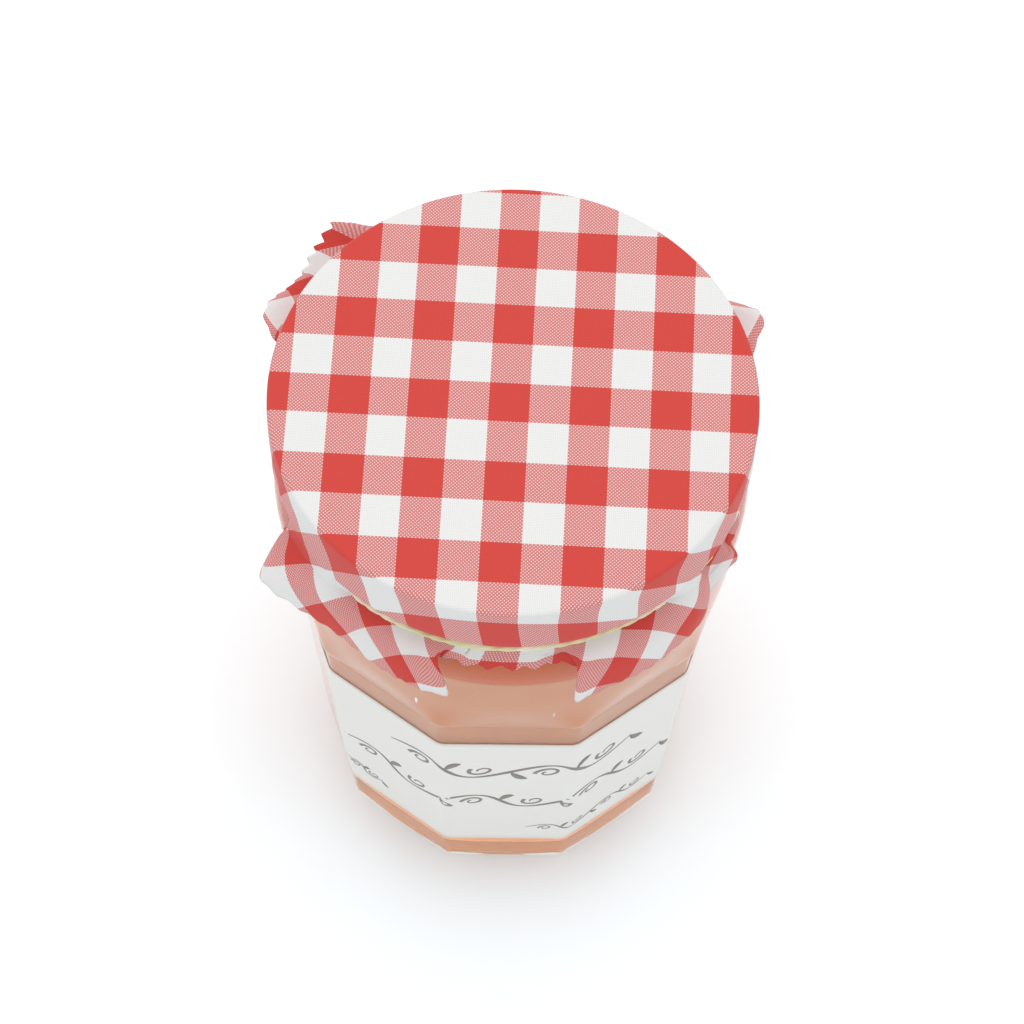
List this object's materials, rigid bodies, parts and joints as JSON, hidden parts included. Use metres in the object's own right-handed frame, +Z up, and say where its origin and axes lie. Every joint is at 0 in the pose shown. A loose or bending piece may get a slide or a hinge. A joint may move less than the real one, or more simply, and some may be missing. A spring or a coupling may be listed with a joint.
{
  "type": "jam jar",
  "caption": "Closed glass jar of peach jam with flat facets and a round shoulder, a blank paper label and a red and white gingham cloth cover tied over its metal lid.",
  "frame": {"origin": "middle of the jar's foot, on the surface it stands on", "axes": "+Z up through the lid, -Y out of the front facet with the middle of the label, +X to the right seen from the front"},
  "size_m": [0.0942, 0.0942, 0.1259],
  "materials": {
    "jar_glass": "clear moulded glass, glossy",
    "jam_fill": null,
    "label_paper": null,
    "lid_metal": "lacquered tinplate",
    "cover_cloth": "red and white gingham cotton, plain weave",
    "tie_cord": "pale covered elastic cord"
  },
  "bodies": {
    "root": {"jar": "jar_glass", "jam": "jam_fill", "label": "label_paper", "lid": "lid_metal", "cloth": "cover_cloth", "tie": "tie_cord"}
  },
  "joints": []
}
